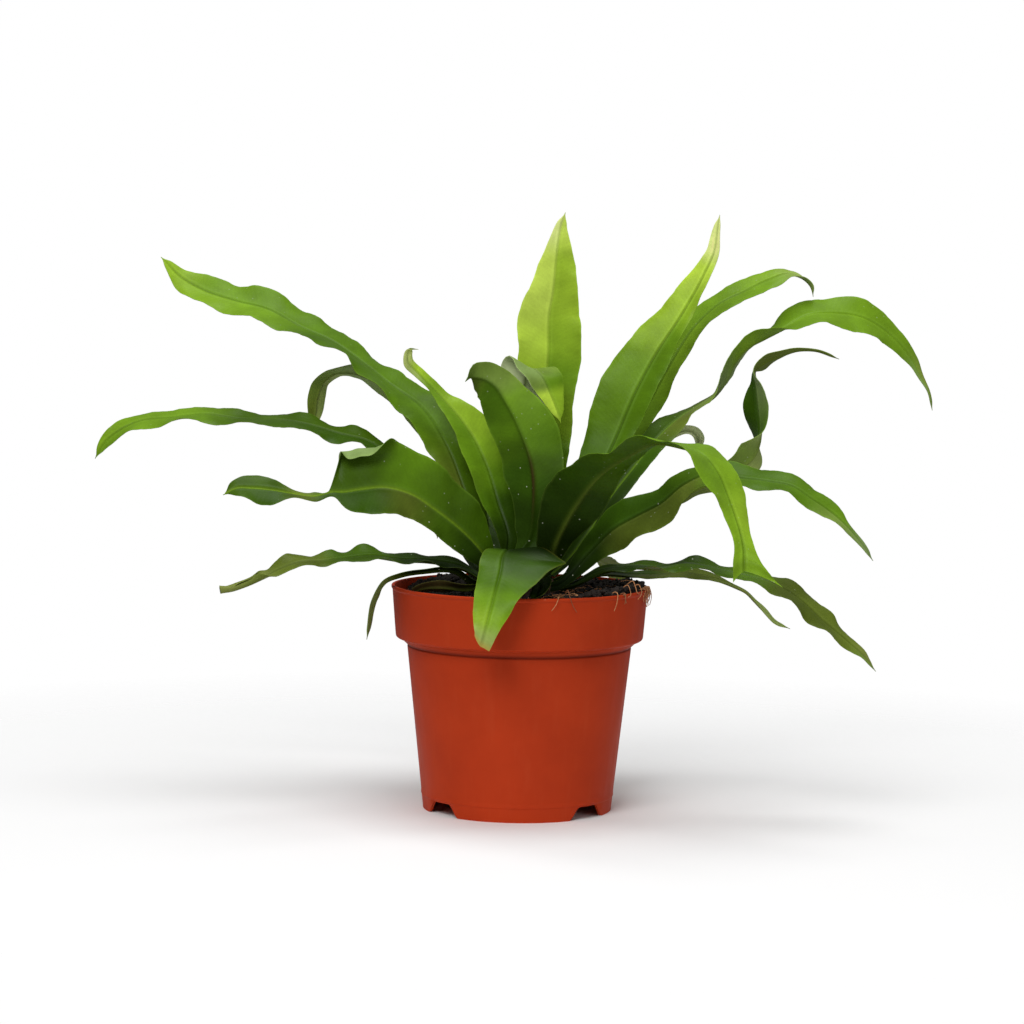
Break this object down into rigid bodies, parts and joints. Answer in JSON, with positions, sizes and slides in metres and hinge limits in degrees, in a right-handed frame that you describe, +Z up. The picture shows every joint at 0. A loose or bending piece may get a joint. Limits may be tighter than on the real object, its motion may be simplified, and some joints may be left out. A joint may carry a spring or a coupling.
{
  "type": "potted fern",
  "caption": "Potted fern with long strap-shaped wavy-edged fronds growing from a soil-filled round plastic nursery pot that stands on moulded feet.",
  "frame": {"origin": "on the pot's axis, at the level that the pot's feet stand on, which is also the middle of the part's bounding box seen from above", "axes": "+Z up along the pot's axis, +X towards the longest fronds on the viewer's right, -Y towards the viewer, the side with the front foot"},
  "size_m": [0.409, 0.2188, 0.2803],
  "materials": {
    "pot": "satin terracotta-coloured plastic",
    "soil": null,
    "crown": null,
    "blade": null,
    "young_blade": null,
    "old_blade": null
  },
  "bodies": {
    "root": {"pot": "pot", "soil": "soil", "crown": "crown", "frond_left_high": "blade", "frond_left_long": "blade", "frond_back_hooked": "blade", "frond_left_broad": "blade", "frond_left_wavy": "blade", "frond_left_drooping": "blade", "frond_front_torn": "young_blade", "frond_young_curled": "young_blade", "frond_centre_dark": "blade", "frond_centre_folded": "blade", "frond_centre_tall": "young_blade", "frond_right_tall": "young_blade", "frond_right_high": "blade", "frond_right_arching": "blade", "frond_right_twisted": "blade", "frond_right_forked": "blade", "frond_right_middle": "blade", "frond_right_low": "blade", "frond_right_thin": "blade", "frond_back_curled": "blade", "frond_back_left": "blade", "frond_back_middle": "blade", "frond_back_right": "blade", "old_leaf_base": "old_blade", "frond_front_small": "blade"}
  },
  "joints": []
}
